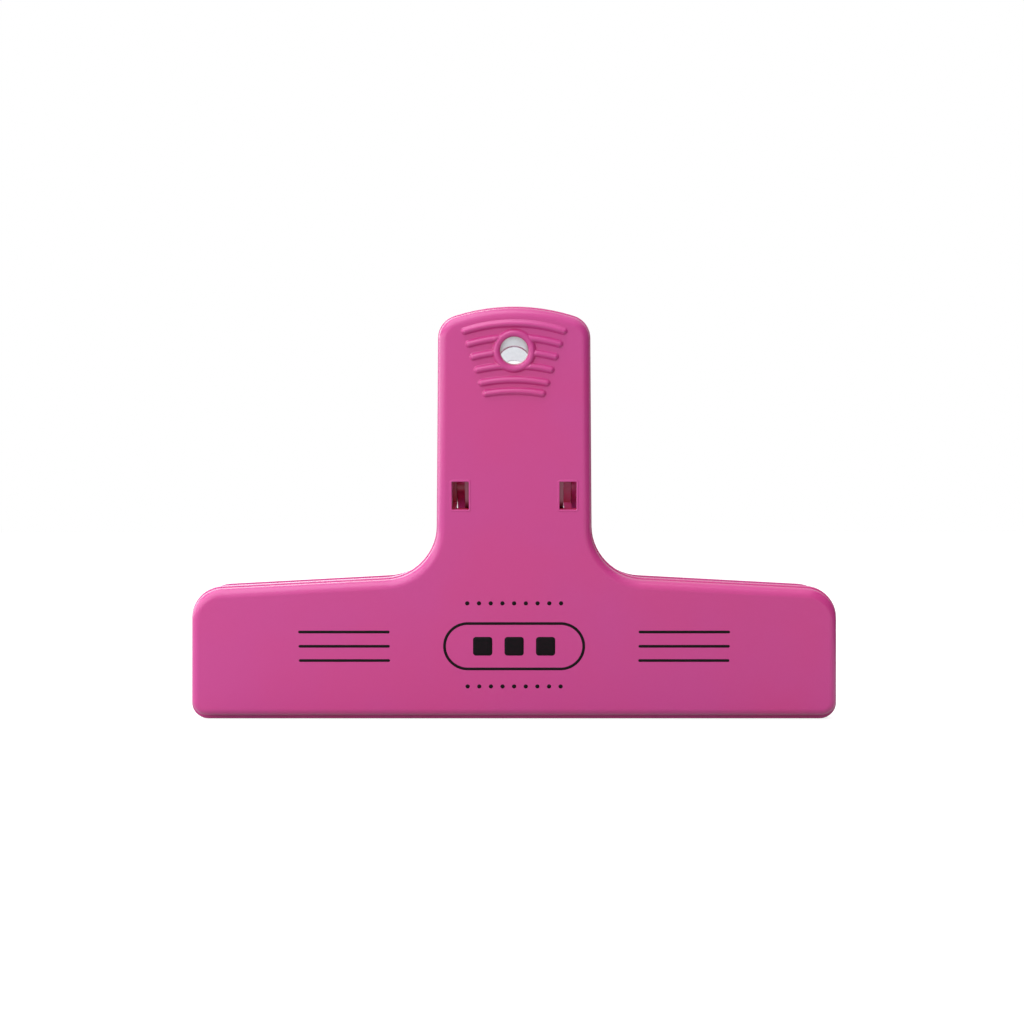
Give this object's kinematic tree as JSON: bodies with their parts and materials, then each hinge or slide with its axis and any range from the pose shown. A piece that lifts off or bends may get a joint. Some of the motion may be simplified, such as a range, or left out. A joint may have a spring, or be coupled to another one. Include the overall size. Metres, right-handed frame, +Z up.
{
  "type": "binder clip",
  "caption": "Wide sprung letter clip: two T-shaped plastic halves hinged on stub axles, a long straight jaw, ribbed handles with a hang hole and a steel leaf spring inside.",
  "frame": {"origin": "under the middle of the shut jaw, at the foot of the clip", "axes": "+X along the jaw, -Y the front half, +Z up from the jaw to the handles"},
  "size_m": [0.1288, 0.0362, 0.0807],
  "materials": {
    "pink_plastic": "satin moulded, glossy on the rounded edges",
    "spring_steel": "rolled strip"
  },
  "bodies": {
    "rear": {"rear_half": "pink_plastic", "leaf_spring": "spring_steel"},
    "front": {"front_half": "pink_plastic"}
  },
  "joints": [
    {"name": "jaw_hinge", "type": "hinge", "parent": "rear", "child": "front", "pos_m": [0, 0, 0.0466], "axis": [-1, 0, 0], "range_deg": [0, 44], "stiffness_Nm_per_rad": 0.9, "springref_deg": -22.35, "deforming": ["leaf_spring"]}
  ]
}
